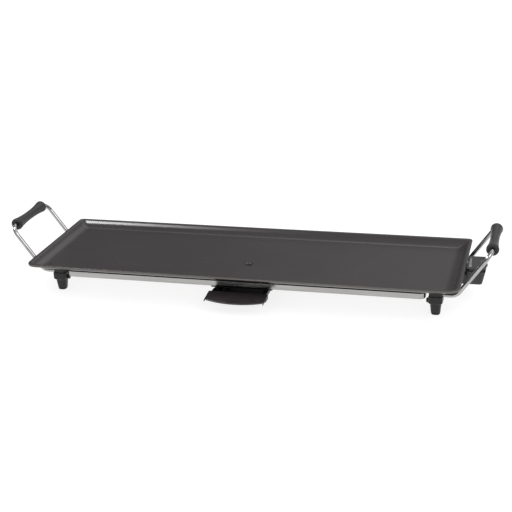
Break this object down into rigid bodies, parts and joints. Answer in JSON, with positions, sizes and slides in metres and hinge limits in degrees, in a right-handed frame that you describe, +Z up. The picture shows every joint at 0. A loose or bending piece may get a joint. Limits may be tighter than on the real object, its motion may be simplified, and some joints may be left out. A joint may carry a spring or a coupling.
{
  "type": "electric griddle",
  "caption": "Long shallow electric table griddle with a rimmed non-stick plate, wire loop handles, a pull-out drip tray and a plug-in thermostat probe.",
  "frame": {"origin": "centre of the whole object's plan box, at the level of the surface that the feet stand on", "axes": "+X along the plate towards the thermostat probe, +Y across the plate away from the drip tray's handle lip, +Z up"},
  "size_m": [0.8038, 0.2476, 0.1127],
  "materials": {
    "nonstick": "cast aluminium under a fine-grained matt charcoal non-stick coating",
    "brushed_steel": "brushed along its length",
    "guard_steel": "plain rolled sheet",
    "bracket_enamel": "black stoved enamel",
    "tray_enamel": "satin black",
    "zinc": "bright zinc plate",
    "sensor_steel": "drawn stainless steel",
    "foot_plastic": "finely textured heat-resistant moulding",
    "rubber": "matt",
    "chrome": "polished",
    "grip_plastic": "satin moulded phenolic",
    "element_steel": "heat-darkened sheath",
    "brass": "bright",
    "ceramic": "unglazed steatite",
    "probe_plastic": "fine spark-textured moulding",
    "dial_plastic": "satin moulding",
    "lens": "clear red",
    "lamp_glass": "clear"
  },
  "bodies": {
    "griddle": {"griddle_plate": "nonstick", "heat_shield_pan": "brushed_steel", "socket_guard": "guard_steel", "tray_bracket": "bracket_enamel", "pan_screw_front_left": "zinc", "pan_screw_front_right": "zinc", "pan_screw_back_left": "zinc", "pan_screw_back_right": "zinc", "bracket_screw_front_left": "zinc", "bracket_screw_front_right": "zinc", "bracket_screw_back_left": "zinc", "bracket_screw_back_right": "zinc", "foot_screw_front_left": "zinc", "foot_screw_front_right": "zinc", "foot_screw_back_left": "zinc", "foot_screw_back_right": "zinc", "handle_set_screw_front_left": "zinc", "handle_set_screw_front_right": "zinc", "handle_set_screw_back_left": "zinc", "handle_set_screw_back_right": "zinc", "guard_screw_front": "zinc", "guard_screw_back": "zinc", "clamp_screw_left": "zinc", "clamp_screw_right": "zinc", "element_clamp_left": "zinc", "element_clamp_right": "zinc", "foot_front_left": "foot_plastic", "foot_front_right": "foot_plastic", "foot_back_left": "foot_plastic", "foot_back_right": "foot_plastic", "foot_tip_front_left": "rubber", "foot_tip_front_right": "rubber", "foot_tip_back_left": "rubber", "foot_tip_back_right": "rubber", "handle_wire_left": "chrome", "handle_wire_right": "chrome", "heating_element": "element_steel", "terminal_pin_front": "brass", "terminal_pin_back": "brass", "insulator_front": "ceramic", "insulator_back": "ceramic"},
    "tray": {"drip_tray": "tray_enamel"},
    "probe": {"probe_housing_lower": "probe_plastic", "probe_housing_upper": "probe_plastic", "sensor_rod": "sensor_steel", "contact_socket_front": "brass", "contact_socket_back": "brass", "thermostat_switch": "ceramic", "terminal_block": "ceramic", "probe_screw_front": "zinc", "probe_screw_back": "zinc", "cord_gland": "rubber", "pilot_lens": "lens", "neon_lamp": "lamp_glass"},
    "dial": {"temperature_dial": "dial_plastic", "dial_spindle": "brass"},
    "grip_left": {"handle_grip_left": "grip_plastic"},
    "grip_right": {"handle_grip_right": "grip_plastic"}
  },
  "joints": [
    {"name": "drip_tray_slide", "type": "slide", "parent": "griddle", "child": "tray", "axis": [0, -1, 0], "range_m": [0, 0.09]},
    {"name": "probe_unplug", "type": "slide", "parent": "griddle", "child": "probe", "axis": [1, 0, 0], "range_m": [0, 0.09]},
    {"name": "dial_turn", "type": "hinge", "parent": "probe", "child": "dial", "pos_m": [0.3675, 0.01925, 0.0542], "axis": [0, 0, 1], "range_deg": [0, 270]},
    {"name": "left_grip_spin", "type": "hinge", "parent": "griddle", "child": "grip_left", "pos_m": [-0.392, 0.00725, 0.1028], "axis": [0, 1, 0], "continuous": true},
    {"name": "right_grip_spin", "type": "hinge", "parent": "griddle", "child": "grip_right", "pos_m": [0.392, 0.00725, 0.1028], "axis": [0, 1, 0], "continuous": true}
  ]
}
